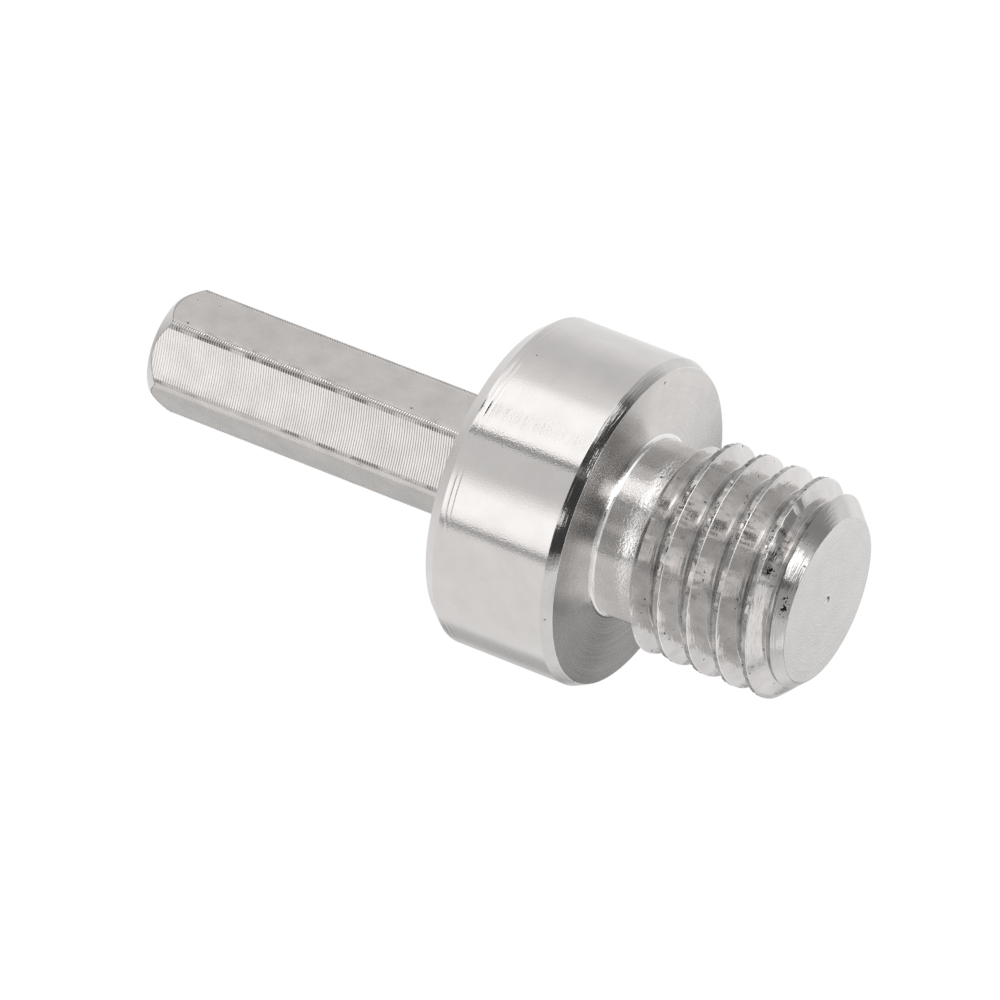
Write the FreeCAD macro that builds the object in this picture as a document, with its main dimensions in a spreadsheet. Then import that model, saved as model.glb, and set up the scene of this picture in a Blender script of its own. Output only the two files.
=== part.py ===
# Core bit adapter: a hexagonal drive shank, a round collar and a threaded spur, turned and
# milled from one steel bar. The shank goes into a drill chuck, and a core bit screws on to
# the thread until its back seats on the collar's front face, the shoulder.
#
# Frame: the origin is the centre of the shank's end face, +Z runs along the axis towards
# the thread, and +X points out of one flat of the shank. Sizes are in millimetres and degrees.
import FreeCAD
import Part
import Sketcher
import math
import os

# Driving sizes: name, value and what it measures
sizes = [
    ("shank_across_flats", 8.0, "hexagon of the shank, flat to flat"),
    ("shank_length", 27.2, "end face to the back of the collar"),
    ("shank_end_diameter", 7.7, "round end face inside the end chamfer"),
    ("shank_chamfer_angle", 33.0, "end chamfer, measured from the axis"),
    ("collar_diameter", 24.0, "outside of the collar"),
    ("collar_length", 10.4, "back face to shoulder"),
    ("back_chamfer_depth", 0.9, "back edge of the collar, across the axis"),
    ("back_chamfer_length", 1.06, "back edge of the collar, along the axis"),
    ("front_chamfer_depth", 0.4, "front edge of the collar, across the axis"),
    ("front_chamfer_length", 0.8, "front edge of the collar, along the axis"),
    ("relief_length", 3.1, "shoulder to the foot of the neck's far wall"),
    ("relief_undercut", 0.08, "how far the neck lies below the thread's root"),
    ("relief_fillet", 0.3, "radius between neck and shoulder"),
    ("relief_wall_angle", 57.0, "far wall of the neck, measured from the axis"),
    ("thread_diameter", 15.7, "over the crests: 5/8 inch less its allowance"),
    ("thread_pitch", 2.309, "crest to crest: 11 turns to the inch"),
    ("thread_flank_angle", 30.0, "each flank, measured across the axis"),
    ("thread_crest_flat", 0.42, "width of the crest"),
    ("thread_root_flat", 0.39, "width of the groove's floor"),
    ("thread_lead_in", 0.85, "first groove ahead of the neck's far wall"),
    ("thread_reach", 15.0, "shoulder to the thread's end face"),
    ("thread_chamfer_depth", 1.8, "end chamfer, across the axis, to below the root"),
    ("thread_chamfer_angle", 45.0, "end chamfer, measured from the axis"),
    ("cutter_clearance", 0.3, "how far each cut starts outside the metal"),
]

# Sizes that follow from the driving ones: name and formula
derived = [
    ("shank_corner_radius", "=shank_across_flats / sqrt(3)"),
    ("shank_cut_radius", "=shank_corner_radius + cutter_clearance"),
    ("shank_cut_length",
     "=(shank_cut_radius - shank_end_diameter / 2) / tan(shank_chamfer_angle * 1deg)"),
    ("shoulder_height", "=shank_length + collar_length"),
    ("groove_mouth_half", "=(thread_pitch - thread_crest_flat) / 2"),
    ("groove_root_half", "=thread_root_flat / 2"),
    ("thread_depth", "=(groove_mouth_half - groove_root_half) / tan(thread_flank_angle * 1deg)"),
    ("thread_root_radius", "=thread_diameter / 2 - thread_depth"),
    ("relief_radius", "=thread_root_radius - relief_undercut"),
    ("relief_end_height", "=shoulder_height + relief_length"),
    ("relief_wall_length", "=(thread_diameter / 2 - relief_radius) / tan(relief_wall_angle * 1deg)"),
    ("thread_start_height", "=relief_end_height + relief_wall_length"),
    ("tip_height", "=shoulder_height + thread_reach"),
    ("thread_end_radius", "=thread_diameter / 2 - thread_chamfer_depth"),
    ("thread_chamfer_length", "=thread_chamfer_depth / tan(thread_chamfer_angle * 1deg)"),
    ("thread_chamfer_height", "=tip_height - thread_chamfer_length"),
    ("groove_height", "=relief_end_height - thread_lead_in"),
    ("groove_cut_radius", "=thread_diameter / 2 + cutter_clearance"),
    ("groove_cut_half", "=groove_mouth_half + cutter_clearance * tan(thread_flank_angle * 1deg)"),
    ("groove_travel", "=tip_height + thread_pitch - groove_height"),
]


def makeSheet(doc):
    """The sheet that holds every size under a name of its own."""
    sheet = doc.addObject("Spreadsheet::Sheet", "Sizes")
    rows = [(name, str(value), note) for name, value, note in sizes]
    rows += [(name, formula, "worked out") for name, formula in derived]
    for row, (name, content, note) in enumerate(rows, start=1):
        sheet.set("A%d" % row, name)
        sheet.set("B%d" % row, content)
        sheet.set("C%d" % row, note)
        sheet.setAlias("B%d" % row, name)
    doc.recompute()
    return sheet


def originPlane(body, role):
    """The body's own origin plane of that role."""
    return [feature for feature in body.Origin.OriginFeatures if feature.Role == role][0]


def newSketch(body, name, role):
    """An empty sketch on one of the body's origin planes."""
    sketch = body.newObject("Sketcher::SketchObject", name)
    sketch.AttachmentSupport = [(originPlane(body, role), "")]
    sketch.MapMode = "FlatFace"
    return sketch


def worth(sketch, expression):
    """Present value of an expression on the sheet, to draw a point near its place."""
    value = sketch.evalExpression(expression)
    return float(getattr(value, "Value", value))


def drawOutline(sketch, corners):
    """Draws the closed outline through named corners, each placed by two dimensions.

    A corner is (name, distance from the axis, height), both as expressions on the sheet.
    """
    points = []
    for name, across, along in corners:
        points.append(FreeCAD.Vector(worth(sketch, across), worth(sketch, along), 0))
    count = len(points)
    for i in range(count):
        sketch.addGeometry(Part.LineSegment(points[i], points[(i + 1) % count]), False)
    for i in range(count):
        sketch.addConstraint(Sketcher.Constraint("Coincident", i, 2, (i + 1) % count, 1))
    for i, (name, across, along) in enumerate(corners):
        placeCorner(sketch, i, "DistanceX", name + "Across", points[i].x, across)
        placeCorner(sketch, i, "DistanceY", name + "Along", points[i].y, along)


def placeCorner(sketch, line, kind, name, distance, expression):
    """Ties a line's first point to the sketch's origin, in one direction."""
    if distance == 0:
        axis = -2 if kind == "DistanceX" else -1
        sketch.addConstraint(Sketcher.Constraint("PointOnObject", line, 1, axis))
        return
    index = sketch.addConstraint(Sketcher.Constraint(kind, -1, 1, line, 1, distance))
    sketch.renameConstraint(index, name)
    sketch.setExpression("Constraints." + name, expression)


def makeShank(body):
    """The hexagonal bar, milled flat to flat, from its end face to the collar."""
    sketch = newSketch(body, "HexagonSketch", "XY_Plane")
    corner_radius = worth(sketch, "Sizes.shank_corner_radius")
    corners = []
    for i in range(6):
        turn = math.radians(60 * i - 30)
        corners.append(FreeCAD.Vector(math.cos(turn), math.sin(turn), 0) * corner_radius)
    for i in range(6):
        sketch.addGeometry(Part.LineSegment(corners[i], corners[(i + 1) % 6]), False)
    rim = sketch.addGeometry(Part.Circle(FreeCAD.Vector(), FreeCAD.Vector(0, 0, 1), corner_radius), True)
    sketch.addConstraint(Sketcher.Constraint("Coincident", rim, 3, -1, 1))
    for i in range(6):
        sketch.addConstraint(Sketcher.Constraint("Coincident", i, 2, (i + 1) % 6, 1))
        sketch.addConstraint(Sketcher.Constraint("PointOnObject", i, 1, rim))
    for i in range(1, 6):
        sketch.addConstraint(Sketcher.Constraint("Equal", 0, i))
    sketch.addConstraint(Sketcher.Constraint("Vertical", 0))
    radius = sketch.addConstraint(Sketcher.Constraint("Radius", rim, corner_radius))
    sketch.renameConstraint(radius, "CornerRadius")
    sketch.setExpression("Constraints.CornerRadius", "Sizes.shank_corner_radius")
    shank = body.newObject("PartDesign::Pad", "Shank")
    shank.Profile = sketch
    shank.setExpression("Length", "Sizes.shank_length")
    return shank


def makeTurning(body):
    """Collar, neck and thread blank, turned in one outline."""
    sketch = newSketch(body, "TurnedSketch", "XZ_Plane")
    drawOutline(sketch, [
        ("BackCentre", "0", "Sizes.shank_length"),
        ("BackEdge", "Sizes.collar_diameter / 2 - Sizes.back_chamfer_depth", "Sizes.shank_length"),
        ("BackRim", "Sizes.collar_diameter / 2", "Sizes.shank_length + Sizes.back_chamfer_length"),
        ("FrontRim", "Sizes.collar_diameter / 2", "Sizes.shoulder_height - Sizes.front_chamfer_length"),
        ("FrontEdge", "Sizes.collar_diameter / 2 - Sizes.front_chamfer_depth", "Sizes.shoulder_height"),
        ("NeckFoot", "Sizes.relief_radius", "Sizes.shoulder_height"),
        ("NeckTop", "Sizes.relief_radius", "Sizes.relief_end_height"),
        ("ThreadStart", "Sizes.thread_diameter / 2", "Sizes.thread_start_height"),
        ("ThreadEnd", "Sizes.thread_diameter / 2", "Sizes.thread_chamfer_height"),
        ("TipEdge", "Sizes.thread_end_radius", "Sizes.tip_height"),
        ("TipCentre", "0", "Sizes.tip_height"),
    ])
    turning = body.newObject("PartDesign::Revolution", "Turning")
    turning.Profile = sketch
    turning.ReferenceAxis = (sketch, ["V_Axis"])
    turning.Angle = 360
    return turning


def makeNeckFillet(body, turning, sheet):
    """Radius in the corner where the neck leaves the shoulder."""
    foot = FreeCAD.Vector(sheet.relief_radius, 0, sheet.shoulder_height)
    nearest = min(
        range(len(turning.Shape.Edges)),
        key=lambda i: turning.Shape.Edges[i].distToShape(Part.Vertex(foot))[0]
        + abs(turning.Shape.Edges[i].BoundBox.ZLength))
    fillet = body.newObject("PartDesign::Fillet", "NeckFillet")
    fillet.Base = (turning, ["Edge%d" % (nearest + 1)])
    fillet.setExpression("Radius", "Sizes.relief_fillet")
    return fillet


def makeShankChamfer(body):
    """Conical chamfer that rounds the end of the hexagon."""
    sketch = newSketch(body, "ShankChamferSketch", "XZ_Plane")
    drawOutline(sketch, [
        ("Inner", "Sizes.shank_end_diameter / 2", "0"),
        ("Outer", "Sizes.shank_cut_radius", "0"),
        ("Upper", "Sizes.shank_cut_radius", "Sizes.shank_cut_length"),
    ])
    chamfer = body.newObject("PartDesign::Groove", "ShankChamfer")
    chamfer.Profile = sketch
    chamfer.ReferenceAxis = (sketch, ["V_Axis"])
    chamfer.Angle = 360
    return chamfer


def makeThread(body):
    """The right-hand groove, cut from the relieved neck out past the end face."""
    sketch = newSketch(body, "GrooveSketch", "XZ_Plane")
    root = "Sizes.thread_root_radius"
    drawOutline(sketch, [
        ("LowRoot", root, "Sizes.groove_height - Sizes.groove_root_half"),
        ("LowMouth", "Sizes.groove_cut_radius", "Sizes.groove_height - Sizes.groove_cut_half"),
        ("HighMouth", "Sizes.groove_cut_radius", "Sizes.groove_height + Sizes.groove_cut_half"),
        ("HighRoot", root, "Sizes.groove_height + Sizes.groove_root_half"),
    ])
    thread = body.newObject("PartDesign::SubtractiveHelix", "Thread")
    thread.Profile = sketch
    thread.ReferenceAxis = (sketch, ["V_Axis"])
    thread.Mode = "pitch-height-angle"
    thread.LeftHanded = False
    thread.Reversed = False
    thread.setExpression("Pitch", "Sizes.thread_pitch")
    thread.setExpression("Height", "Sizes.groove_travel")
    return thread


def volumeAfter(doc, feature):
    """Recomputes and gives the body's volume once this feature is in it."""
    doc.recompute()
    return feature.Shape.Volume


def checkDocument(doc):
    for item in doc.Objects:
        for state in item.State:
            if state in ("Invalid", "Error"):
                raise RuntimeError("%s is %s" % (item.Name, state))


def checkBody(body):
    shape = body.Shape
    if shape.isNull() or not shape.isValid() or len(shape.Solids) != 1:
        raise RuntimeError("%s isn't one valid solid" % body.Label)


doc = FreeCAD.newDocument("CoreBitAdapter")
sheet = makeSheet(doc)
body = doc.addObject("PartDesign::Body", "Adapter")
body.Label = "adapter_body"

shank = makeShank(body)
shankVolume = volumeAfter(doc, shank)
turning = makeTurning(body)
turnedVolume = volumeAfter(doc, turning)
fillet = makeNeckFillet(body, turning, sheet)
filletVolume = volumeAfter(doc, fillet)
chamfer = makeShankChamfer(body)
chamferVolume = volumeAfter(doc, chamfer)
thread = makeThread(body)
threadVolume = volumeAfter(doc, thread)

# Each operation has to add or remove metal
if not shankVolume < turnedVolume < filletVolume:
    raise RuntimeError("the turning or its fillet added nothing")
if not threadVolume < chamferVolume < filletVolume:
    raise RuntimeError("the end chamfer or the thread cut nothing")
checkDocument(doc)
checkBody(body)

os.makedirs("parts", exist_ok=True)
body.Shape.exportStep("parts/%s.step" % body.Label)
print("%s: %.1f mm3, %d faces" % (body.Label, body.Shape.Volume, len(body.Shape.Faces)))
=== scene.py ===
import bpy
import math
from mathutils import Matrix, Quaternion, Vector, noise


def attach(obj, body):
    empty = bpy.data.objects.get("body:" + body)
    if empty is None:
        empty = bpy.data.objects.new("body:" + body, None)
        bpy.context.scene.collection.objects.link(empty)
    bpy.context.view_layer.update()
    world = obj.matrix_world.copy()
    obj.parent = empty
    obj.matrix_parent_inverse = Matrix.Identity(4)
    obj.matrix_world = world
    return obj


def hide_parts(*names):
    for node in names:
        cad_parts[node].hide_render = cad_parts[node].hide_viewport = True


mm = 0.001  # sizes in the dictionaries are millimetres, Blender's are metres

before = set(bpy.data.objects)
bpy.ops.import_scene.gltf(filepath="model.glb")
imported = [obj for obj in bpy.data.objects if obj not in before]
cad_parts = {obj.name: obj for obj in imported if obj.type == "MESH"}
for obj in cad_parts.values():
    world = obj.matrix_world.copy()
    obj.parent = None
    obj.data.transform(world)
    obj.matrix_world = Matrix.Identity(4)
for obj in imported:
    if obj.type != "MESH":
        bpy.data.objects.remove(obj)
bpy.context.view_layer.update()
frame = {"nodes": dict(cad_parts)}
print("frame loaded:", ", ".join(frame["nodes"]))

weld = 0.0005  # millimetres: points nearer to each other than this become one
nearly = 0.001  # millimetres: slack where faces and edges are picked by their place
cutTolerance = 1e-7  # metres: how near a cut a point counts as on it
white = (1, 1, 1, 1)


def selectNothing():
    if bpy.context.mode != "OBJECT":
        bpy.ops.object.mode_set(mode="OBJECT")
    bpy.ops.object.select_all(action="DESELECT")


def pick(piece):
    selectNothing()
    piece.select_set(True)
    bpy.context.view_layer.objects.active = piece


def editAll(piece):
    pick(piece)
    bpy.ops.object.mode_set(mode="EDIT")
    bpy.ops.mesh.select_all(action="SELECT")


def leaveEdit():
    bpy.ops.object.mode_set(mode="OBJECT")


def selectFaces(piece, wanted):
    # wanted takes a face's centre; leaves the piece in edit mode
    pick(piece)
    bpy.ops.object.mode_set(mode="EDIT")
    bpy.ops.mesh.select_mode(type="FACE")
    bpy.ops.mesh.select_all(action="DESELECT")
    leaveEdit()
    for face in piece.data.polygons:
        face.select = wanted(face.center)
    bpy.ops.object.mode_set(mode="EDIT")


def selectEdges(piece, wanted):
    # wanted takes the two ends of an edge; leaves the piece in edit mode
    pick(piece)
    bpy.ops.object.mode_set(mode="EDIT")
    bpy.ops.mesh.select_mode(type="EDGE")
    bpy.ops.mesh.select_all(action="DESELECT")
    leaveEdit()
    points = piece.data.vertices
    for edge in piece.data.edges:
        edge.select = wanted(points[edge.vertices[0]].co, points[edge.vertices[1]].co)
    bpy.ops.object.mode_set(mode="EDIT")


def applyModifier(piece, kind, **values):
    pick(piece)
    modifier = piece.modifiers.new(kind.lower(), kind)
    for name, value in values.items():
        setattr(modifier, name, value)
    bpy.ops.object.modifier_apply(modifier=modifier.name)


def softenCorners(corners, arcSteps):
    # corners are (radius, height, rounding); a rounded one becomes a short arc
    path = []
    for index, (radius, height, rounding) in enumerate(corners):
        here = Vector((radius, height))
        if not rounding:
            path.append(here)
            continue
        back = (Vector(corners[index - 1][:2]) - here).normalized()
        ahead = (Vector(corners[index + 1][:2]) - here).normalized()
        half = back.angle(ahead) / 2
        reach = rounding / math.tan(half)
        centre = here + (back + ahead).normalized() * (rounding / math.sin(half))
        start = here + back * reach - centre
        sweep = start.angle_signed(here + ahead * reach - centre)
        for step in range(arcSteps + 1):
            turn = -sweep * step / arcSteps
            path.append(centre + Vector((
                start.x * math.cos(turn) - start.y * math.sin(turn),
                start.x * math.sin(turn) + start.y * math.cos(turn),
            )))
    return path


def drawProfile(name, path):
    # one point, extruded along the path in the plane of X and Z
    selectNothing()
    first = path[0]
    bpy.ops.mesh.primitive_plane_add(size=mm, location=(first.x * mm, 0, first.y * mm))
    piece = bpy.context.object
    piece.name = name
    bpy.ops.object.transform_apply(location=True, rotation=True, scale=True)
    bpy.ops.object.mode_set(mode="EDIT")
    bpy.ops.mesh.select_mode(type="VERT")
    bpy.ops.mesh.select_all(action="SELECT")
    bpy.ops.mesh.merge(type="CENTER")
    for before, after in zip(path, path[1:]):
        step = ((after.x - before.x) * mm, 0, (after.y - before.y) * mm)
        bpy.ops.mesh.extrude_region_move(TRANSFORM_OT_translate={"value": step})
    leaveEdit()
    return piece


def closeMesh(piece, gap=weld):
    # merges doubles and turns all faces outwards
    editAll(piece)
    bpy.ops.mesh.remove_doubles(threshold=gap * mm)
    bpy.ops.mesh.select_all(action="SELECT")
    bpy.ops.mesh.normals_make_consistent(inside=False)
    leaveEdit()


def spinProfile(name, path, steps):
    piece = drawProfile(name, path)
    editAll(piece)
    bpy.ops.mesh.spin(
        steps=steps, angle=math.tau, center=(0, 0, 0), axis=(0, 0, 1), use_auto_merge=True
    )
    leaveEdit()
    closeMesh(piece)
    return piece


def cutLevel(piece, height, direction, fill=True):
    # takes off what lies above a height where direction is 1, and below it where it is -1
    editAll(piece)
    bpy.ops.mesh.bisect(
        plane_co=(0, 0, height * mm), plane_no=(0, 0, direction), use_fill=fill,
        clear_outer=True, threshold=cutTolerance,
    )
    leaveEdit()


def cutWith(piece, tool, operation):
    applyModifier(piece, "BOOLEAN", object=tool, operation=operation, solver="EXACT")
    bpy.data.objects.remove(tool)


def joinPieces(first, *others):
    pick(first)
    for piece in others:
        piece.select_set(True)
    bpy.ops.object.join()
    return first


# The bar as the lathe leaves it. Heights are from the shank's end face.
turning = {
    "steps": 288,  # straight pieces round the bar
    "backHeight": 27.2,
    "shoulderHeight": 37.6,
    "collarRadius": 12.0,
    "backChamferDepth": 0.9,
    "backChamferLength": 1.06,
    "frontChamferDepth": 0.4,
    "frontChamferLength": 0.8,
    "grooveHeights": (28.72, 29.08),  # two fine tool lines round the collar
    "grooveDepth": 0.007,
    "grooveHalf": 0.035,
    "neckRadius": 6.472,
    "neckLength": 3.1,
    "neckFillet": 0.3,
    "wallFillet": 0.18,
    "wallAngle": 57,  # far wall of the neck, from the axis
    "tipHeight": 52.6,
    "tipRadius": 6.05,
    "edgeRound": 0.07,  # every turned edge
    "tipRound": 0.1,
    "seamHeight": 40.0,  # where the collar's mesh meets the thread's, round the neck
    "innerRadius": 5.6,  # where the collar's back meets the shank's foot
    "arcSteps": 3,
    "pipRadius": 0.28,
    "pipDepth": 0.1,  # hollow left in the middle of the end face
    "pipRound": 0.04,
}


# Collar and neck, turned
def makeCollar(values):
    back = values["backHeight"]
    shoulder = values["shoulderHeight"]
    outside = values["collarRadius"]
    edge = values["edgeRound"]
    corners = [
        (values["innerRadius"], back, 0),
        (outside - values["backChamferDepth"], back, edge),
        (outside, back + values["backChamferLength"], edge),
    ]
    for height in values["grooveHeights"]:
        corners.append((outside, height - values["grooveHalf"], 0))
        corners.append((outside - values["grooveDepth"], height, 0))
        corners.append((outside, height + values["grooveHalf"], 0))
    corners += [
        (outside, shoulder - values["frontChamferLength"], edge),
        (outside - values["frontChamferDepth"], shoulder, edge),
        (values["neckRadius"], shoulder, values["neckFillet"]),
        (values["neckRadius"], values["seamHeight"], 0),
    ]
    path = softenCorners(corners, values["arcSteps"])
    return spinProfile("adapterCollar", path, values["steps"])


collar = makeCollar(turning)
print("collar turned:", len(collar.data.polygons), "faces")


# 5/8 inch thread, 11 turns to the inch, right hand
thread = {
    "radius": 7.85,
    "pitch": 2.309,
    "crestFlat": 0.42,
    "rootFlat": 0.3,
    "flankAngle": 30,
    "crestRound": 0.07,
    "rootRound": 0.16,
    "arcSteps": 2,
    "flankShares": (0.14, 0.5, 0.92),  # rows of points up each flank, as shares of its depth
    "crestAtX": 5.71,  # height over the shoulder of a crest on the +X side
    "turns": 7,
    "turnsBelow": 2,  # turns made below that crest, to be cut off with the neck
    "trim": 0.05,  # taken off both ends of the screwed rod
    "clearance": 0.6,  # the blank reaches this far outside the crests
    "tearDepth": 0.11,  # the crest's rear edge is torn, its front edge is whole
    "tearSize": 0.45,
    "tearBelow": 0.3,  # how far down from the crest points are moved
    "tearUpTo": 0.2,  # share of the crest's flat, past its middle, that is still torn
    "tearBias": 0.15,  # a higher value tears more of the edge
    "fineTears": 0.8,  # strength and fineness of the smaller tears against the larger
    "fineTearScale": 2.7,
    "tearRise": 0.5,  # torn steel is pushed forwards by this share of its depth
    "waviness": 0.02,
    "wavinessScale": 0.6,
    "chatterFrom": 11.2,  # the first turn is cut rough, from this height over the shoulder
    "chatterGrow": 1.2,  # height over which the roughness grows to its full depth
    "chatterBelow": 1.25,  # how far down from the crest it reaches
    "chatterDepth": 0.12,
    "chatterSize": 1.1,
    "chatterSteps": 4,  # levels that the roughness is rounded to, as chips leave it
    "chatterBearing": -36,  # degrees: the middle of the rough stretch and half its width
    "chatterSpread": 30,
    "chatterFade": 4,  # a higher power ends the stretch more suddenly
    "fineChatter": 0.4,
    "fineChatterScale": 2.3,
}


# Threaded spur: the screwed rod, cut to the turned blank's outline
def makeThread(values, blank):
    tall = blank["shoulderHeight"]
    pitch = values["pitch"]
    crest = values["crestFlat"] / 2
    mouth = (pitch - values["rootFlat"]) / 2
    depth = (mouth - crest) / math.tan(math.radians(values["flankAngle"]))
    root = values["radius"] - depth
    middle = tall + values["crestAtX"] - values["turnsBelow"] * pitch
    corners = [
        (root, middle - pitch / 2, 0),
        (root, middle - mouth, values["rootRound"]),
    ]
    for share in values["flankShares"]:
        corners.append((root + depth * share, middle - mouth + (mouth - crest) * share, 0))
    corners.append((values["radius"], middle - crest, values["crestRound"]))
    corners.append((values["radius"], middle, 0))
    corners.append((values["radius"], middle + crest, values["crestRound"]))
    for share in values["flankShares"]:
        radius = values["radius"] - depth * share
        corners.append((radius, middle + crest + (mouth - crest) * share, 0))
    corners.append((root, middle + mouth, values["rootRound"]))
    corners.append((root, middle + pitch / 2, 0))
    rod = drawProfile("adapterThread", softenCorners(corners, values["arcSteps"]))
    applyModifier(
        rod, "SCREW", angle=math.tau, screw_offset=pitch * mm, iterations=values["turns"],
        steps=blank["steps"], render_steps=blank["steps"], axis="Z",
        use_merge_vertices=True, merge_threshold=weld * mm, use_smooth_shade=False,
    )
    closeMesh(rod)
    lowest = middle + pitch / 2 + values["trim"]
    highest = middle + (values["turns"] - 0.5) * pitch - values["trim"]
    cutLevel(rod, lowest, -1)
    cutLevel(rod, highest, 1)
    closeMesh(rod)
    tearCrest(rod, values, middle)
    chatterStart(rod, values, tall)
    neck = blank["neckRadius"]
    wallFoot = tall + blank["neckLength"]
    clear = values["radius"] + values["clearance"]
    wallTop = wallFoot + (clear - neck) / math.tan(math.radians(blank["wallAngle"]))
    tip = blank["tipHeight"]
    outline = [
        (0, blank["seamHeight"], 0),
        (neck, blank["seamHeight"], 0),
        (neck, wallFoot, blank["wallFillet"]),
        (clear, wallTop, 0),
        (clear, tip - (clear - blank["tipRadius"]), 0),
        (blank["tipRadius"], tip, blank["tipRound"]),
        (blank["pipRadius"], tip, blank["pipRound"]),
        (0, tip - blank["pipDepth"], 0),
    ]
    outline = softenCorners(outline, blank["arcSteps"])
    cutWith(rod, spinProfile("threadBlank", outline, blank["steps"]), "INTERSECT")
    selectFaces(rod, lambda centre: centre.z < (blank["seamHeight"] + nearly) * mm)
    bpy.ops.mesh.delete(type="FACE")
    leaveEdit()
    return rod


def helixPhase(place, pitch, middle):
    # how far a point lies above the middle of the nearest crest, in millimetres
    turn = math.atan2(place.y, place.x) / math.tau
    return (place.z / mm - middle - turn * pitch + pitch / 2) % pitch - pitch / 2


def tearCrest(rod, values, middle):
    fine = 1 / values["tearSize"]
    for point in rod.data.vertices:
        radius = point.co.xy.length / mm
        if radius < values["radius"] - values["tearBelow"]:
            continue
        phase = helixPhase(point.co, values["pitch"], middle)
        place = point.co / mm * fine
        torn = max(0, noise.noise(place) + values["tearBias"])
        torn += max(0, noise.noise(place * values["fineTearScale"])) * values["fineTears"]
        sway = noise.noise(place * values["wavinessScale"]) * values["waviness"]
        if phase < values["crestFlat"] * values["tearUpTo"]:
            point.co.xy *= 1 - torn * values["tearDepth"] / radius
            point.co.z += (torn * values["tearRise"] * values["tearDepth"] + sway) * mm
        else:
            point.co.z += sway * mm


def chatterStart(rod, values, shoulder):
    for point in rod.data.vertices:
        height = point.co.z / mm - shoulder
        bearing = math.degrees(math.atan2(point.co.y, point.co.x)) - values["chatterBearing"]
        aside = abs((bearing + 180) % 360 - 180) / values["chatterSpread"]
        share = min(1, max(0, (height - values["chatterFrom"]) / values["chatterGrow"]))
        share *= max(0, 1 - aside ** values["chatterFade"])
        if share > 0 and point.co.xy.length / mm > values["radius"] - values["chatterBelow"]:
            place = point.co / mm / values["chatterSize"]
            rough = noise.noise(place)
            rough += values["fineChatter"] * noise.noise(place * values["fineChatterScale"])
            rough = round(rough * values["chatterSteps"]) / values["chatterSteps"]
            point.co.z += rough * share * values["chatterDepth"] * mm


spur = makeThread(thread, turning)
print("thread cut:", len(spur.data.polygons), "faces")


# Hexagon of the shank with the ribs that the side mill leaves across its flats
shank = {
    "acrossFlats": 8.0,
    "endRadius": 3.85,
    "chamferAngle": 33,
    "ribPitch": 0.195,
    "ribDepth": 0.011,
    "ribRows": 4,
    "ribShift": 3,  # ribs that one arc spans from edge to edge of a flat
    "columns": 10,
    "cornerRound": 0.2,
    "cornerSegments": 4,
    "cornerReach": 3,  # rib depths inside the corner within which an edge counts as its edge
    "cornerRipple": 0.08,
    "rippleSlant": 2.2,  # ripples that a stroke passes over in one millimetre across the corner
    "rippleShelf": 0.9,  # share of the rounding that the ripples take up
    "bite": 0.85,  # mean depth of the ripples, how much it changes, and how fast
    "biteChange": 0.4,
    "biteScale": 0.9,
    "overrun": 0.9,  # bar beyond both ends before they are cut
    "spare": 0.4,  # bar beyond both ends, and beyond the corners, while it is shaped
    "cutterOver": 0.6,
    "sideWeld": 1.5,  # rib depths within which the points of two flats become one
}


# Hexagonal shank: one ribbed flat, repeated along the bar and then round it
def makeShank(values, blank):
    across = values["acrossFlats"] / 2
    corner = across / math.cos(math.pi / 6)
    width = across * math.tan(math.pi / 6) * 2
    pitch = values["ribPitch"]
    rows = values["ribRows"]
    drop = values["ribShift"] * pitch
    columns = values["columns"]
    bpy.ops.object.select_all(action="DESELECT")
    bpy.ops.mesh.primitive_grid_add(
        x_subdivisions=rows, y_subdivisions=columns, size=1, location=(0, 0, 0)
    )
    flat = bpy.context.object
    flat.name = "adapterShank"
    # the grid's X runs along the bar: one rib long, hollow in the middle, curved as the mill ran
    for point in flat.data.vertices:
        along = point.co.x + 0.5
        aside = point.co.y + 0.5
        hollow = values["ribDepth"] * math.sin(math.pi * along)
        curve = drop * (1 - (1 - aside) ** 2)
        point.co = Vector((across - hollow, (aside - 0.5) * width, along * pitch + curve)) * mm
    count = math.ceil((blank["backHeight"] + 2 * values["overrun"] + drop) / pitch)
    start = -values["overrun"] - drop
    applyModifier(
        flat, "ARRAY", count=count, use_relative_offset=False, use_constant_offset=True,
        constant_offset_displace=(0, 0, pitch * mm), use_merge_vertices=True,
        merge_threshold=weld * mm,
    )
    editAll(flat)
    bpy.ops.transform.translate(value=(0, 0, start * mm))
    leaveEdit()
    sides = [flat]
    for turn in range(1, 6):
        pick(flat)
        bpy.ops.object.duplicate()
        side = bpy.context.object
        editAll(side)
        bpy.ops.transform.rotate(
            value=-math.radians(60 * turn), orient_axis="Z", center_override=(0, 0, 0)
        )
        leaveEdit()
        sides.append(side)
    joinPieces(*sides)
    closeMesh(flat, values["ribDepth"] * values["sideWeld"])
    cutLevel(flat, -values["spare"], -1)
    cutLevel(flat, blank["backHeight"] + values["spare"], 1)
    closeMesh(flat)
    roundCorners(flat, values, corner)
    tip = (values["endRadius"], 0, blank["edgeRound"])
    reach = corner + values["spare"]
    height = (reach - values["endRadius"]) / math.tan(math.radians(values["chamferAngle"]))
    above = blank["backHeight"] + values["cutterOver"]
    outline = [(0, 0, 0), tip, (reach, height, 0), (reach, above, 0), (0, above, 0)]
    outline = softenCorners(outline, blank["arcSteps"])
    cutWith(flat, spinProfile("shankBlank", outline, blank["steps"]), "INTERSECT")
    cutLevel(flat, blank["backHeight"], 1, fill=False)
    return flat


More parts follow.
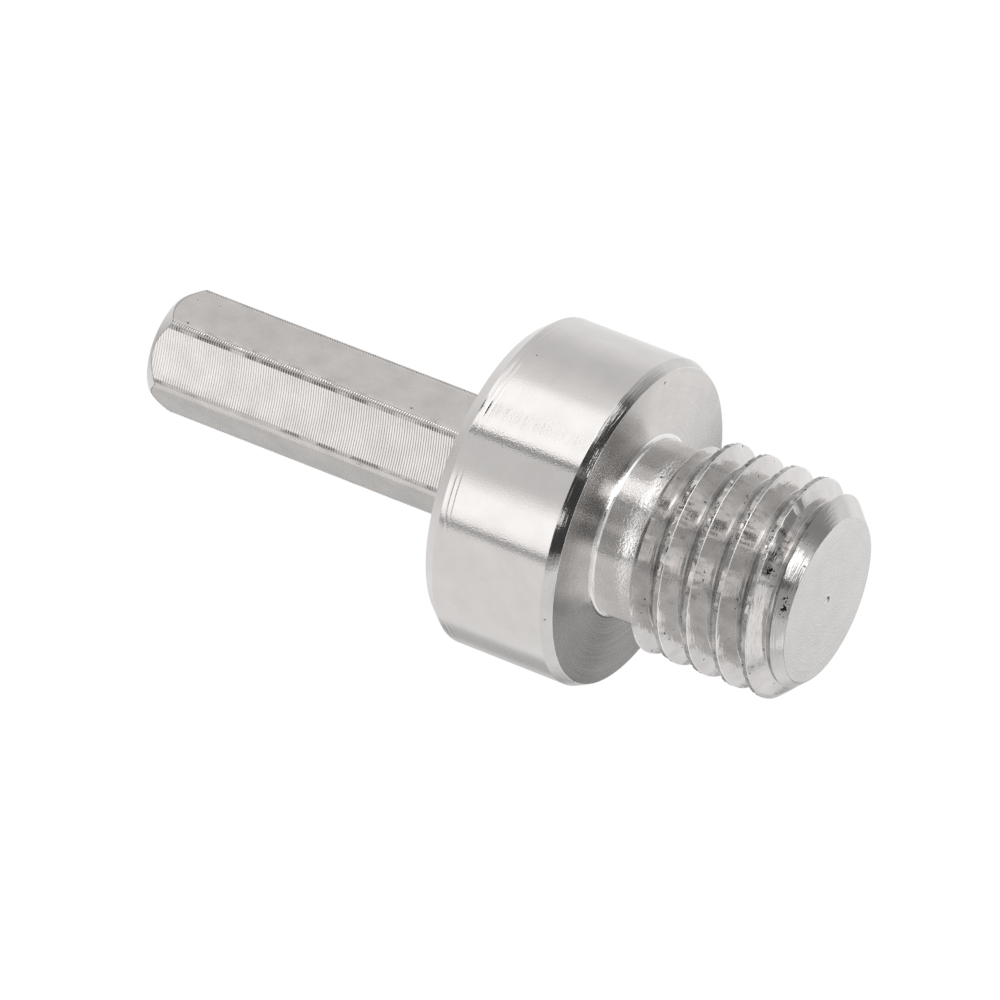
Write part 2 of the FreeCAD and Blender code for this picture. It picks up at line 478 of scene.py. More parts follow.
def roundCorners(bar, values, corner):
    # the six long edges are rounded, then rippled where the mill's ribs run over them
    near = corner - values["ribDepth"] * values["cornerReach"]

    def onCorner(one, other):
        far = min(one.xy.length, other.xy.length) > near * mm
        return far and abs(one.z - other.z) > nearly * mm

    selectEdges(bar, onCorner)
    bpy.ops.mesh.bevel(
        offset=values["cornerRound"] * mm, segments=values["cornerSegments"], affect="EDGES",
        clamp_overlap=False,
    )
    leaveEdit()
    shelf = (corner - values["cornerRound"] * values["rippleShelf"]) * mm
    for point in bar.data.vertices:
        if point.co.xy.length > shelf:
            turn = math.atan2(point.co.y, point.co.x) + math.pi / 6
            aside = ((turn + math.pi / 6) % (math.pi / 3) - math.pi / 6) * corner
            strokes = point.co.z / (values["ribPitch"] * mm) + aside * values["rippleSlant"]
            change = noise.noise(point.co / mm * values["biteScale"])
            bite = values["bite"] + values["biteChange"] * change
            swell = values["cornerRipple"] * bite * 0.5 * (math.cos(math.tau * strokes) - 1) * mm
            point.co.xy *= 1 + swell / point.co.xy.length


bar = makeShank(shank, turning)
print("shank milled:", len(bar.data.polygons), "faces")


# One piece again: the shank's foot is bridged to the collar's back, the thread joins the neck
def joinBody(collar, spur, bar, blank):
    body = joinPieces(collar, spur, bar)
    body.name = "adapterBody"
    body.data.name = "adapterBody"
    closeMesh(body)
    back = blank["backHeight"] * mm
    inner = (blank["innerRadius"] + 10 * nearly) * mm

    def onBack(one, other):
        level = max(abs(one.z - back), abs(other.z - back)) < 2 * nearly * mm
        return level and max(one.xy.length, other.xy.length) < inner

    selectEdges(body, onBack)
    bpy.ops.mesh.bridge_edge_loops()
    leaveEdit()
    closeMesh(body)
    return body


body = joinBody(collar, spur, bar, turning)
triangles = sum(len(face.vertices) - 2 for face in body.data.polygons)
print("body joined:", triangles, "triangles")


# Finish. Every pattern is on Object coordinates, whose unit is the metre.


def newGroup(name, inputs, outputs):
    # inputs and outputs are (name, kind, starting value)
    group = bpy.data.node_groups.new(name, "ShaderNodeTree")
    for label, kind, value in inputs:
        socket = group.interface.new_socket(name=label, in_out="INPUT", socket_type=kind)
        if value is not None:
            socket.default_value = value
    for label, kind in outputs:
        group.interface.new_socket(name=label, in_out="OUTPUT", socket_type=kind)
    return group


def addNode(tree, kind, place, **settings):
    # settings are the node's own, except values and sources, which are put on its sockets
    values = settings.pop("values", {})
    sources = settings.pop("sources", {})
    node = tree.nodes.new(kind)
    node.location = place
    for name, value in settings.items():
        setattr(node, name, value)
    for socket, value in values.items():
        node.inputs[socket].default_value = value
    for socket, source in sources.items():
        tree.links.new(source, node.inputs[socket])
    return node


def mathNode(tree, operation, place, *terms):
    node = tree.nodes.new("ShaderNodeMath")
    node.operation = operation
    node.location = place
    for index, term in enumerate(terms):
        if isinstance(term, (int, float)):
            node.inputs[index].default_value = term
        else:
            tree.links.new(term, node.inputs[index])
    return node.outputs[0]


def axisDistance(tree, axes, left, row):
    # how far a point lies from the bar's axis
    squares = mathNode(tree, "MULTIPLY", (left, row), axes.outputs[0], axes.outputs[0])
    both = mathNode(
        tree, "MULTIPLY_ADD", (left + 140, row), axes.outputs[1], axes.outputs[1], squares
    )
    return mathNode(tree, "SQRT", (left + 280, row), both)


# Fine rings that the tool leaves: long round the axis, narrow across it
def buildTurningMarks(middleHeight):
    group = newGroup(
        "turningMarks",
        [
            ("Rings per Metre", "NodeSocketFloat", 6000),
            ("Along Axis", "NodeSocketFloat", 1),
            ("Streak", "NodeSocketFloat", 60),
            ("Depth", "NodeSocketFloat", 0.001),
            ("Lean", "NodeSocketFloat", 0),
            ("Crown", "NodeSocketFloat", 0),
        ],
        [("Height", "NodeSocketFloat")],
    )
    entry = addNode(group, "NodeGroupInput", (-900, 0))
    place = addNode(group, "ShaderNodeTexCoord", (-900, -200)).outputs["Object"]
    axes = addNode(group, "ShaderNodeSeparateXYZ", (-720, -200), sources={0: place})
    radius = axisDistance(group, axes, -560, -120)
    along = mathNode(
        group, "MULTIPLY_ADD", (-140, -160), axes.outputs[2], entry.outputs["Along Axis"], radius
    )
    across = mathNode(group, "MULTIPLY", (0, -160), along, entry.outputs["Rings per Metre"])
    roundX = mathNode(group, "MULTIPLY", (0, 0), axes.outputs[0], entry.outputs["Streak"])
    roundY = mathNode(group, "MULTIPLY", (0, -80), axes.outputs[1], entry.outputs["Streak"])
    ring = addNode(
        group, "ShaderNodeCombineXYZ", (160, -80), sources={0: roundX, 1: roundY, 2: across}
    )
    lines = addNode(
        group, "ShaderNodeTexNoise", (320, -80), sources={"Vector": ring.outputs[0]},
        values={"Scale": 1, "Detail": 1, "Roughness": 0.5},
    )
    # the facing tool's feed leaves each ring leaning outwards
    lean = mathNode(group, "MULTIPLY", (320, 120), radius, entry.outputs["Lean"])
    # a long flat bows a little under the mill
    middle = mathNode(group, "SUBTRACT", (0, 240), axes.outputs[2], middleHeight * mm)
    square = mathNode(group, "MULTIPLY", (160, 240), middle, middle)
    bow = mathNode(group, "MULTIPLY_ADD", (320, 240), square, entry.outputs["Crown"], lean)
    height = mathNode(
        group, "MULTIPLY_ADD", (500, 0), lines.outputs[0], entry.outputs["Depth"], bow
    )
    addNode(group, "NodeGroupOutput", (660, 0), sources={0: height})
    return group


# Plating: a fine grain that breaks up highlights, and a soft mottle in its colour
def buildPlatingGrain():
    group = newGroup(
        "platingGrain",
        [
            ("Grains per Metre", "NodeSocketFloat", 9000),
            ("Patches per Metre", "NodeSocketFloat", 500),
        ],
        [("Height", "NodeSocketFloat"), ("Mottle", "NodeSocketFloat")],
    )
    entry = addNode(group, "NodeGroupInput", (-500, 0))
    place = addNode(group, "ShaderNodeTexCoord", (-500, -200)).outputs["Object"]
    grain = addNode(
        group, "ShaderNodeTexNoise", (-250, 0), values={"Detail": 2, "Roughness": 0.5},
        sources={"Vector": place, "Scale": entry.outputs["Grains per Metre"]},
    )
    patches = addNode(
        group, "ShaderNodeTexNoise", (-250, -250), values={"Detail": 3, "Roughness": 0.6},
        sources={"Vector": place, "Scale": entry.outputs["Patches per Metre"]},
    )
    addNode(
        group, "NodeGroupOutput", (0, 0), sources={0: grain.outputs[0], 1: patches.outputs[0]}
    )
    return group


# Damage that several finishes share
wear = {
    "pitWobble": 0.2,  # millimetres that a pit's outline wanders, and how finely
    "pitWobbleScale": 5000,
    "pitSharpness": 30,
    "scarScale": 5500,  # fineness of a scar's ragged outline, how ragged it is, and its reach
    "scarRaggedness": 2.6,
    "scarReach": -0.8,
    "scarSharpness": 4,
    "arrisFade": 1.5,  # line widths over which the dark line at the shank's chamfer fades
    "pitStrength": 0.7,  # a pit against a scar
    "hollow": -0.05,  # how deep the worst damage lies, in millimetres, and how it darkens
    "darkening": -0.93,
    "mottleRange": (0.3, 0.7),
    "mottleLight": 0.3,  # how far patches turn lighter, against darker
}


# Small pits, scattered and of uneven size
def buildPits(values):
    group = newGroup(
        "platingPits",
        [
            ("Pits per Metre", "NodeSocketFloat", 900),
            ("Share", "NodeSocketFloat", 0.2),
            ("Size", "NodeSocketFloat", 0.12),
        ],
        [("Mask", "NodeSocketFloat")],
    )
    entry = addNode(group, "NodeGroupInput", (-700, 0))
    place = addNode(group, "ShaderNodeTexCoord", (-700, -200)).outputs["Object"]
    wobble = addNode(
        group, "ShaderNodeTexNoise", (-520, -300), sources={"Vector": place},
        values={"Scale": values["pitWobbleScale"], "Detail": 0},
    )
    shift = addNode(
        group, "ShaderNodeVectorMath", (-360, -260), operation="MULTIPLY_ADD",
        sources={0: wobble.outputs["Color"], 2: place}, values={1: [values["pitWobble"] * mm] * 3},
    )
    cells = addNode(
        group, "ShaderNodeTexVoronoi", (-200, -120),
        sources={"Vector": shift.outputs[0], "Scale": entry.outputs["Pits per Metre"]},
    )
    lot = addNode(
        group, "ShaderNodeSeparateColor", (-20, -260), sources={0: cells.outputs["Color"]}
    )
    size = mathNode(group, "MULTIPLY", (120, -260), lot.outputs[1], entry.outputs["Size"])
    chosen = mathNode(group, "LESS_THAN", (120, -120), lot.outputs[0], entry.outputs["Share"])
    depth = mathNode(group, "SUBTRACT", (260, -180), size, cells.outputs["Distance"])
    sharp = mathNode(group, "MULTIPLY", (400, -180), depth, values["pitSharpness"])
    sharp.node.use_clamp = True
    pit = mathNode(group, "MULTIPLY", (540, -120), sharp, chosen)
    addNode(group, "NodeGroupOutput", (700, 0), sources={0: pit})
    return group


# The nicks that the part has picked up, and the finishes that show them
scars = [
    # height, bearing in degrees, radius, size
    (50.7, -15, 7.2, 0.6),
    (50.3, -11, 7.6, 0.22),
    (52.3, 3, 6.4, 0.5),
    (52.2, -3, 6.5, 0.34),
    (52.35, 9, 6.35, 0.24),
    (45.2, -69, 7.8, 0.2),
    (42.9, -97, 7.8, 0.24),
    (49.9, -57, 7.8, 0.16),
    (29.5, -56, 12.0, 0.13),
    (37.5, 75, 11.6, 0.3),
    (37.6, 81, 7.9, 0.12),
]
scarredFinishes = ("turnedRound", "turnedFace", "cutFlank", "tornCrest", "bevelCut")


def buildScars(rows, values):
    # each scar is a dark spot with a ragged outline
    group = newGroup("handlingScars", [], [("Mask", "NodeSocketFloat")])
    place = addNode(group, "ShaderNodeTexCoord", (-900, 0)).outputs["Object"]
    ragged = addNode(
        group, "ShaderNodeTexNoise", (-700, -200), sources={"Vector": place},
        values={"Scale": values["scarScale"], "Detail": 1, "Roughness": 0.6},
    )
    edge = mathNode(
        group, "MULTIPLY_ADD", (-500, -200), ragged.outputs[0], values["scarRaggedness"],
        values["scarReach"],
    )
    total = None
    for number, (height, bearing, radius, size) in enumerate(rows):
        row = number * 150
        angle = math.radians(bearing)
        spot = (radius * math.cos(angle) * mm, radius * math.sin(angle) * mm, height * mm)
        gap = addNode(
            group, "ShaderNodeVectorMath", (-500, row), operation="DISTANCE",
            sources={0: place}, values={1: spot},
        ).outputs["Value"]
        near = mathNode(group, "MULTIPLY_ADD", (-300, row), gap, -1 / (size * mm), edge)
        sharp = mathNode(group, "MULTIPLY", (-150, row), near, values["scarSharpness"])
        sharp.node.use_clamp = True
        if total is None:
            total = sharp
        else:
            total = mathNode(group, "MAXIMUM", (0, row), total, sharp)
    addNode(group, "NodeGroupOutput", (200, 0), sources={0: total})
    return group


# A dark line along where the end chamfer meets the flats
def buildArrisLine(shankValues, values):
    group = newGroup(
        "arrisLine", [("Width", "NodeSocketFloat", 0.00004)], [("Mask", "NodeSocketFloat")]
    )
    entry = addNode(group, "NodeGroupInput", (-700, 200))
    place = addNode(group, "ShaderNodeTexCoord", (-700, 0)).outputs["Object"]
    axes = addNode(group, "ShaderNodeSeparateXYZ", (-520, 0), sources={0: place})
    radius = axisDistance(group, axes, -360, 80)
    slope = math.tan(math.radians(shankValues["chamferAngle"]))
    cone = mathNode(
        group, "MULTIPLY_ADD", (-200, -120), axes.outputs[2], slope, shankValues["endRadius"] * mm
    )
    inside = mathNode(group, "SUBTRACT", (120, 0), cone, radius)
    share = mathNode(group, "DIVIDE", (280, 0), inside, entry.outputs["Width"])
    mask = mathNode(group, "SUBTRACT", (440, 0), values["arrisFade"], share)
    mask.node.use_clamp = True
    addNode(group, "NodeGroupOutput", (600, 0), sources={0: mask})
    return group


turningMarks = buildTurningMarks(turning["backHeight"] / 2)
arrisLine = buildArrisLine(shank, wear)
handlingScars = buildScars(scars, wear)
platingGrain = buildPlatingGrain()
platingPits = buildPits(wear)

# What most finishes share, then one row of values for each way that the steel was cut. Rings,
# streaks, grain and pits are counts per metre, depths are in millimetres.
plainFinish = {
    "anisotropy": 0.5,
    "alongAxis": 1.0,  # how fast rings follow each other along the bar, against outwards
    "lean": 0.0,  # slope of each ring on a faced face
    "crown": 0.0,  # bow of a long flat
    "arrisDarkening": 0.0,  # darkness of the line where the shank's chamfer meets its flats
}

finishes = {
    "milledFlat": {
        "color": (0.752, 0.722, 0.698), "roughness": 0.22, "anisotropy": 0.0, "rings": 6000,
        "streak": 60, "ringDepth": 0.0, "crown": 0.001, "grain": 5000, "grainDepth": 0.004,
        "mottle": 0.12, "pits": 900, "pitShare": 0.22, "pitSize": 0.15, "arrisDarkening": 0.55,
    },
    "turnedRound": {
        "color": (0.746, 0.722, 0.706), "roughness": 0.1, "rings": 5000, "streak": 60,
        "ringDepth": 0.003, "grain": 8000, "grainDepth": 0.0045, "mottle": 0.06, "pits": 500,
        "pitShare": 0.14, "pitSize": 0.07,
    },
    # the neck's plating is painted lighter than the collar's, as painted light that brightens its
    # highlight
    "turnedNeckPaintedLight": {
        "color": (0.93, 0.915, 0.9), "roughness": 0.12, "rings": 5500, "streak": 3500,
        "ringDepth": 0.009, "grain": 6500, "grainDepth": 0.009, "mottle": 0.1, "pits": 900,
        "pitShare": 0.1, "pitSize": 0.14,
    },
    "turnedFace": {
        "color": (0.7, 0.676, 0.66), "roughness": 0.26, "anisotropy": 0.9, "rings": 2600,
        "alongAxis": 0.0, "streak": 150, "ringDepth": 0.02, "lean": -0.16, "grain": 5000,
        "grainDepth": 0.004, "mottle": 0.08, "pits": 700, "pitShare": 0.12, "pitSize": 0.14,
    },
    # the end faces are painted lighter than the other plated faces, as painted light on them
    "facedTipPaintedLight": {
        "color": (0.84, 0.827, 0.811), "roughness": 0.22, "anisotropy": 0.0, "rings": 3000,
        "alongAxis": 0.0, "streak": 200, "ringDepth": 0.003, "grain": 5000, "grainDepth": 0.004,
        "mottle": 0.06, "pits": 600, "pitShare": 0.14, "pitSize": 0.14,
    },
    "cutFlank": {
        "color": (0.735, 0.712, 0.698), "roughness": 0.16, "anisotropy": 0.3, "rings": 4500,
        "alongAxis": -1.0, "streak": 1400, "ringDepth": 0.015, "grain": 5500, "grainDepth": 0.004,
        "mottle": 0.14, "pits": 1700, "pitShare": 0.55, "pitSize": 0.19,
    },
    "tornCrest": {
        "color": (0.5, 0.485, 0.47), "roughness": 0.14, "rings": 3500, "streak": 900,
        "ringDepth": 0.03, "grain": 5000, "grainDepth": 0.012, "mottle": 0.6, "pits": 1700,
        "pitShare": 0.55, "pitSize": 0.2,
    },
    # the root is painted darker than the flanks: painted shade in the thread's groove, on top of
    # its rough cut
    "threadRootPaintedShade": {
        "color": (0.42, 0.41, 0.4), "roughness": 0.2, "rings": 4500, "streak": 800,
        "ringDepth": 0.02, "grain": 5000, "grainDepth": 0.008, "mottle": 0.6, "pits": 1700,
        "pitShare": 0.55, "pitSize": 0.26,
    },
    # the rear flanks are painted a little darker than the front ones: painted shade under the
    # crests
    "rearFlankPaintedShade": {
        "color": (0.66, 0.645, 0.635), "roughness": 0.16, "rings": 4500, "streak": 1100,
        "ringDepth": 0.016, "grain": 5000, "grainDepth": 0.004, "mottle": 0.3, "pits": 1700,
        "pitShare": 0.55, "pitSize": 0.19,
    },
    "bevelCut": {
        "color": (0.7, 0.685, 0.668), "roughness": 0.12, "anisotropy": 0.4, "rings": 4500,
        "alongAxis": -1.0, "streak": 500, "ringDepth": 0.016, "grain": 4500, "grainDepth": 0.006,
        "mottle": 0.1, "pits": 900, "pitShare": 0.1, "pitSize": 0.14,
    },
    # near white: a painted highlight along the crests' front edges, the collar's rim and the
    # neck's foot, where the steel is also burnished
    "burnishedEdgePaintedHighlight": {
        "color": (0.98, 0.96, 0.94), "roughness": 0.4, "anisotropy": 0.0, "rings": 8000,
        "streak": 700, "ringDepth": 0.004, "grain": 8000, "grainDepth": 0.004, "mottle": 0.1,
        "pits": 1300, "pitShare": 0.1, "pitSize": 0.14,
    },
}


def makeFinish(name, values, wearValues):
    material = bpy.data.materials.new(name)
    material.use_nodes = True
    tree = material.node_tree
    tree.nodes.clear()
    marks = addNode(
        tree, "ShaderNodeGroup", (-900, 0), node_tree=turningMarks,
        values={
            "Rings per Metre": values["rings"], "Along Axis": values["alongAxis"],
            "Streak": values["streak"], "Depth": values["ringDepth"], "Lean": values["lean"] / mm,
            "Crown": -values["crown"] / mm ** 2,
        },
    )
    grain = addNode(
        tree, "ShaderNodeGroup", (-900, -250), node_tree=platingGrain,
        values={"Grains per Metre": values["grain"]},
    )
    pits = addNode(
        tree, "ShaderNodeGroup", (-900, -500), node_tree=platingPits,
        values={
            "Pits per Metre": values["pits"], "Share": values["pitShare"],
            "Size": values["pitSize"],
        },
    )
    damage = mathNode(
        tree, "MULTIPLY", (-800, -600), pits.outputs[0], wearValues["pitStrength"]
    )
    if name in scarredFinishes:
        scar = addNode(tree, "ShaderNodeGroup", (-900, -750), node_tree=handlingScars)
        damage = mathNode(tree, "MAXIMUM", (-650, -600), damage, scar.outputs[0])
    grains = mathNode(
        tree, "MULTIPLY_ADD", (-500, -100), grain.outputs["Height"], values["grainDepth"],
        marks.outputs[0],
    )
    height = mathNode(
        tree, "MULTIPLY_ADD", (-350, -200), damage, wearValues["hollow"], grains
    )
    bump = addNode(
        tree, "ShaderNodeBump", (-150, -300), values={"Strength": 1.0, "Distance": mm},
        sources={"Height": height},
    )
    low, high = wearValues["mottleRange"]
    shade = addNode(
        tree, "ShaderNodeMapRange", (-500, 300), sources={"Value": grain.outputs["Mottle"]},
        values={
            "From Min": low, "From Max": high, "To Min": 1 - values["mottle"],
            "To Max": 1 + values["mottle"] * wearValues["mottleLight"],
        },
    )
    worn = mathNode(
        tree, "MULTIPLY_ADD", (-350, 150), damage, wearValues["darkening"], shade.outputs[0]
    )
    if values["arrisDarkening"]:
        line = addNode(tree, "ShaderNodeGroup", (-650, 500), node_tree=arrisLine)
        worn = mathNode(
            tree, "MULTIPLY_ADD", (-350, 350), line.outputs[0], -values["arrisDarkening"], worn
        )
    tone = addNode(
        tree, "ShaderNodeVectorMath", (-150, 200), operation="SCALE",
        sources={"Scale": worn}, values={0: values["color"]},
    )
    skin = addNode(
        tree, "ShaderNodeBsdfPrincipled", (100, 100),
        values={
            "Metallic": 1.0, "Roughness": values["roughness"],
            "Anisotropic": values["anisotropy"], "Anisotropic Rotation": 0.25,
        },
        sources={"Base Color": tone.outputs[0], "Normal": bump.outputs[0]},
    )
    if values["anisotropy"]:
        lay = addNode(tree, "ShaderNodeTangent", (-150, -550), direction_type="RADIAL", axis="Z")
        tree.links.new(lay.outputs[0], skin.inputs["Tangent"])
    addNode(tree, "ShaderNodeOutputMaterial", (400, 100), sources={0: skin.outputs[0]})
    return material


for name, values in finishes.items():
    body.data.materials.append(makeFinish(name, {**plainFinish, **values}, wear))

# Where one finish gives way to the next, in millimetres. A lift is the Z of a face's normal.
borders = {
    "level": 0.01,
    "endLift": -0.9,
    "cornerSlack": 0.1,
    "coneGap": 0.02,
    "coneLift": -0.4,
    "flatLift": 0.98,  # faces square to the bar
    "chamferStart": 0.04,
    "shoulderSlack": 0.05,
    "rimWidth": 0.15,
    "rimLift": 0.7,
    "tipFrom": 1,  # over the shoulder: square faces from here on are the bar's tip
    "neckShort": 0.08,
    "footWidth": 0.09,
    "footHeight": 0.15,
    "bevelDepth": 2.2,
    "bevelLifts": (0.6, 0.8),
    "crestDepth": 0.1,
    "crestFront": 0.36,  # share of the crest's flat from which its front edge is burnished and carries the painted highlight
    "flankLift": 0.45,
    "rearLift": -0.6,
    "rearDepth": 0.12,
    "tornDepth": 0.5,
}


# Each face takes its finish from where it lies and which way it looks
def assignFinishes(body, values, blank, threadValues, shankValues):
    names = [material.name for material in body.data.materials]
    level = values["level"]
    back = blank["backHeight"]
    shoulder = blank["shoulderHeight"]
    wallFoot = shoulder + blank["neckLength"]
    frontEdge = shoulder - blank["frontChamferLength"] + values["chamferStart"]
    rim = blank["collarRadius"] - blank["frontChamferDepth"] - values["rimWidth"]
    bevelLow, bevelHigh = values["bevelLifts"]
    crest = threadValues["radius"]
    crestMiddle = shoulder + threadValues["crestAtX"]
    crestFront = threadValues["crestFlat"] * values["crestFront"]
    across = shankValues["acrossFlats"] / 2
    corner = across / math.cos(math.pi / 6) + values["cornerSlack"]
    coneSlope = math.tan(math.radians(shankValues["chamferAngle"]))
    for face in body.data.polygons:
        radius = face.center.xy.length / mm
        height = face.center.z / mm
        lift = face.normal.z
        phase = helixPhase(face.center, threadValues["pitch"], crestMiddle)
        coneGap = abs(shankValues["endRadius"] + height * coneSlope - radius)
        if height < level and lift < values["endLift"]:
            finish = "facedTipPaintedLight"
        elif height < back - level and radius < corner:
            onCone = coneGap < values["coneGap"] and lift < values["coneLift"]
            finish = "turnedRound" if onCone else "milledFlat"
        elif height < frontEdge:
            finish = "turnedFace" if abs(lift) > values["flatLift"] else "turnedRound"
        elif height < shoulder + values["shoulderSlack"] and radius > rim:
            finish = "bevelCut" if lift < values["rimLift"] else "burnishedEdgePaintedHighlight"
        elif lift > values["flatLift"]:
            finish = "facedTipPaintedLight" if height > shoulder + values["tipFrom"] else "turnedFace"
        elif height < wallFoot - values["neckShort"]:
            finish = "turnedNeckPaintedLight"
        elif (
            radius < blank["neckRadius"] + values["footWidth"]
            and height < wallFoot + values["footHeight"]
        ):
            finish = "burnishedEdgePaintedHighlight"
        elif height > blank["tipHeight"] - values["bevelDepth"] and bevelLow < lift < bevelHigh:
            finish = "bevelCut"
        elif radius > crest - values["crestDepth"] and phase > crestFront:
            finish = "burnishedEdgePaintedHighlight"
        elif lift > values["flankLift"]:
            finish = "cutFlank"
        elif lift < values["rearLift"] and radius < crest - values["rearDepth"]:
            finish = "rearFlankPaintedShade"
        elif radius > crest - values["tornDepth"]:
            finish = "tornCrest"
        else:
            finish = "threadRootPaintedShade"
        face.material_index = names.index(finish)


assignFinishes(body, borders, turning, thread, shank)
print("finishes laid on")

# edges sharper than this many degrees stay crisp, and large faces keep their normals
shading = {
    "smoothUpTo": 14,
    "weight": 60,
}
pick(body)
bpy.ops.object.shade_smooth_by_angle(angle=math.radians(shading["smoothUpTo"]))
applyModifier(
    body, "WEIGHTED_NORMAL", keep_sharp=True, weight=shading["weight"],
    mode="FACE_AREA_WITH_ANGLE",
)

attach(body, "root")
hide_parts("adapter_body")

# Long lens, from the thread's side, rolled so that the bar lies across the picture
shot = {
    "lens": 396,
    "sensor": 36,
    "place": (686.64, -143.72, 323.73),
    "aim": (4.0, 0.98, 28.83),
    "roll": 111.35,
    "clip": (0.05, 5),  # metres
}


def addCamera(values):
    data = bpy.data.cameras.new("productCamera")
    data.lens = values["lens"]
    data.sensor_width = values["sensor"]
    data.clip_start, data.clip_end = values["clip"]
    camera = bpy.data.objects.new("productCamera", data)
    bpy.context.scene.collection.objects.link(camera)
    place = Vector(values["place"]) * mm
    direction = Vector(values["aim"]) * mm - place
    turn = Quaternion((0, 0, 1), math.radians(values["roll"]))
    camera.location = place
    camera.rotation_mode = "QUATERNION"
    camera.rotation_quaternion = direction.to_track_quat("-Z", "Y") @ turn
    bpy.context.scene.camera = camera


addCamera(shot)
print("camera placed")

# Light tent, as soft panels that the bar reflects. Bearings and heights are in degrees, as seen
# from the bar: bearing 0 is towards the camera, and a later panel lies over an earlier one.
tent = {
    "bearing": -11.97,  # of the camera, from the X axis
    "wall": 0.86,  # level where there is no panel
}
panels = [
    # name, level, bearing, half width, height, half height, side softness, end softness
    ("lowFloor", 0.62, 180, 180, -90, 18, 30, 30),
    ("leftGrey", 0.68, -98, 18, -10, 45, 30, 30),
    ("leftShade", 0.30, -98, 25, 38, 22, 24, 24),
    ("cameraOpening", 0.05, -18, 66, 35, 18, 14, 14),
    ("farLeft", 0.97, -164, 18, 20, 22, 6, 8),
    ("farTop", 0.28, 180, 85, 90, 47, 30, 5),
    ("topShade", 0.40, 40, 110, 90, 32, 20, 7),
    ("topDark", 0.10, -10, 22, 60, 14, 12, 8),
    ("topRightGrey", 0.70, 92, 25, 48, 16, 14, 8),
    ("farRightTop", 1.02, 121, 24, 67, 21, 10, 6),
    ("zenithCard", 1.0, 130, 62, 90, 13, 12, 4),
    ("flankSeam", 0.0, -130, 26, 75, 3.5, 8, 2),
    ("rightShade", 0.14, 170, 8, 24, 22, 4, 12),
    ("keyPanel", 1.30, -42, 22, -20, 34, 14, 14),
    ("keyTop", 1.1, -58, 16, 2, 22, 8, 5),
    ("neckCard", 2.8, -42, 11, 3, 11, 6, 6),
    ("stripeCard", 2.3, -34, 12, 49.5, 9.5, 6, 3),
    ("topPanel", 1.90, -38, 28, 63, 7, 8, 8),
    ("edgeCard", 1.0, 14, 5, 24, 7, 3, 3),
    ("gapGrey", 0.71, 4, 22, -20, 34, 10, 10),
    ("fillPanel", 1.28, 26, 14, -32, 18, 18, 10),
    ("fillShade", 0.42, 24, 12, -4, 9, 6, 6),
    ("keySeam", 0.30, -20, 2.4, -5, 40, 2, 3),
    ("fillSeam", 0.38, 44, 2.5, -5, 50, 3, 3),
    ("lowShade", 0.1, 174, 9, 1, 15, 3, 4),
    ("threadSeam", 0.0, -39, 5, -42, 16, 3, 3),
    ("rightGrey", 0.62, 158, 20, -12, 20, 20, 20),
    ("rightLow", 0.44, 144, 12, -15, 8, 12, 6),
]


def buildPanelGroup():
    group = newGroup(
        "softPanel",
        [
            ("Bearing", "NodeSocketFloat", 0),
            ("Height", "NodeSocketFloat", 0),
            ("Behind", "NodeSocketFloat", 0),
            ("Level", "NodeSocketFloat", 1),
            ("Middle Bearing", "NodeSocketFloat", 0),
            ("Half Width", "NodeSocketFloat", 10),
            ("Middle Height", "NodeSocketFloat", 0),
            ("Half Height", "NodeSocketFloat", 10),
            ("Side Softness", "NodeSocketFloat", 5),
            ("End Softness", "NodeSocketFloat", 5),
        ],
        [("Level", "NodeSocketFloat")],
    )
    entry = addNode(group, "NodeGroupInput", (-1100, 0)).outputs
    away = mathNode(group, "SUBTRACT", (-900, 100), entry["Bearing"], entry["Middle Bearing"])
    wound = mathNode(group, "ADD", (-760, 100), away, 180)
    turned = mathNode(group, "FLOORED_MODULO", (-620, 100), wound, 360)
    centred = mathNode(group, "SUBTRACT", (-480, 100), turned, 180)
    aside = mathNode(group, "ABSOLUTE", (-340, 100), centred)
    above = mathNode(group, "SUBTRACT", (-480, -200), entry["Height"], entry["Middle Height"])
    apart = mathNode(group, "ABSOLUTE", (-340, -200), above)
    masks = []
    for row, distance, half, soft in (
        (100, aside, "Half Width", "Side Softness"),
        (-200, apart, "Half Height", "End Softness"),
    ):
        outer = mathNode(group, "MULTIPLY_ADD", (-340, row - 80), entry[soft], 0.5, entry[half])
        inner = mathNode(group, "SUBTRACT", (-200, row - 80), outer, entry[soft])
        ramp = addNode(
            group, "ShaderNodeMapRange", (-40, row), interpolation_type="SMOOTHSTEP",
            sources={"Value": distance, "From Min": outer, "From Max": inner},
        )
        masks.append(ramp.outputs[0])
    mask = mathNode(group, "MULTIPLY", (160, 0), *masks)
    rise = mathNode(group, "SUBTRACT", (160, -160), entry["Level"], entry["Behind"])
    level = mathNode(group, "MULTIPLY_ADD", (320, 0), mask, rise, entry["Behind"])
    addNode(group, "NodeGroupOutput", (480, 0), sources={0: level})
    return group


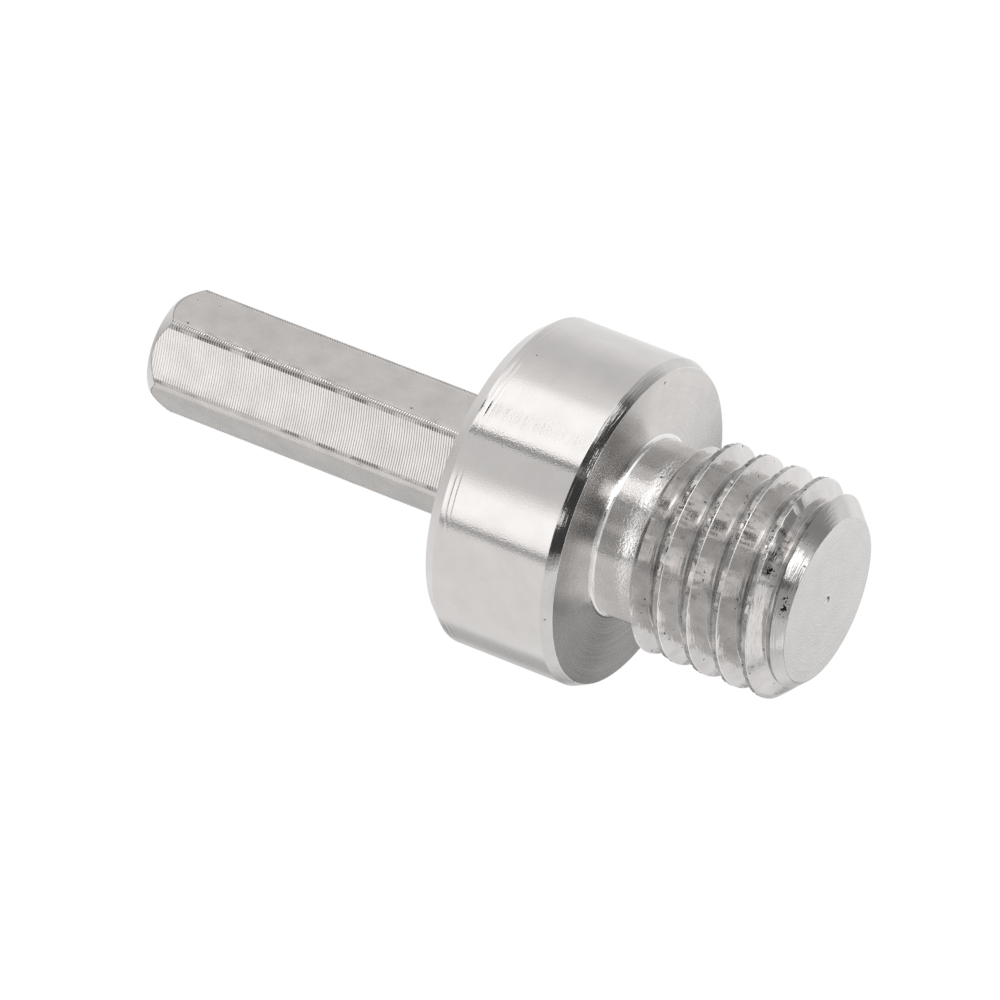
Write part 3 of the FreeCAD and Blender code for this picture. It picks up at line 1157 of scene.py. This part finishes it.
def lightTent(values, rows):
    world = bpy.data.worlds.new("lightTent")
    bpy.context.scene.world = world
    world.use_nodes = True
    tree = world.node_tree
    tree.nodes.clear()
    ray = addNode(tree, "ShaderNodeTexCoord", (-900, 0)).outputs["Generated"]
    axes = addNode(tree, "ShaderNodeSeparateXYZ", (-740, 0), sources={0: ray}).outputs
    turn = mathNode(tree, "ARCTAN2", (-580, 100), axes[1], axes[0])
    inDegrees = mathNode(tree, "DEGREES", (-440, 100), turn)
    bearing = mathNode(tree, "SUBTRACT", (-300, 100), inDegrees, values["bearing"])
    lift = mathNode(tree, "ARCSINE", (-580, -100), axes[2])
    height = mathNode(tree, "DEGREES", (-440, -100), lift)
    group = buildPanelGroup()
    level = None
    labels = (
        "Level", "Middle Bearing", "Half Width", "Middle Height", "Half Height",
        "Side Softness", "End Softness",
    )
    for index, row in enumerate(rows):
        node = addNode(
            tree, "ShaderNodeGroup", (-100 + 200 * index, 0), node_tree=group, label=row[0],
            sources={"Bearing": bearing, "Height": height},
            values=dict(zip(labels, row[1:])),
        )
        if level is None:
            node.inputs["Behind"].default_value = values["wall"]
        else:
            tree.links.new(level, node.inputs["Behind"])
        level = node.outputs[0]
    right = 200 * len(rows)
    seen = addNode(tree, "ShaderNodeBackground", (right, -200), values={"Color": white})
    lit = addNode(
        tree, "ShaderNodeBackground", (right, 0), values={"Color": white},
        sources={"Strength": level},
    )
    path = addNode(tree, "ShaderNodeLightPath", (right, 400))
    mix = addNode(
        tree, "ShaderNodeMixShader", (right + 200, 0),
        sources={0: path.outputs["Is Camera Ray"], 1: lit.outputs[0], 2: seen.outputs[0]},
    )
    addNode(tree, "ShaderNodeOutputWorld", (right + 400, 0), sources={0: mix.outputs[0]})


lightTent(tent, panels)

# Plain white floor, just under the shank's end
ground = {
    "size": 6,  # metres
    "drop": 0.00001,
}


def addFloor(values):
    selectNothing()
    bpy.ops.mesh.primitive_plane_add(size=values["size"], location=(0, 0, -values["drop"]))
    floor = bpy.context.object
    floor.name = "paleFloor"
    floor.visible_glossy = False
    floor.visible_shadow = False
    material = bpy.data.materials.new("paleFloor")
    material.use_nodes = True
    tree = material.node_tree
    tree.nodes.clear()
    glow = addNode(tree, "ShaderNodeEmission", (0, 0), values={"Color": white})
    addNode(tree, "ShaderNodeOutputMaterial", (200, 0), sources={0: glow.outputs[0]})
    floor.data.materials.append(material)


addFloor(ground)
bpy.context.scene.view_settings.view_transform = "Standard"
cycles = bpy.context.scene.cycles
cycles.use_denoising = False  # it wipes off the tool marks
cycles.max_bounces = 5
cycles.diffuse_bounces = 1
print("light and floor set")
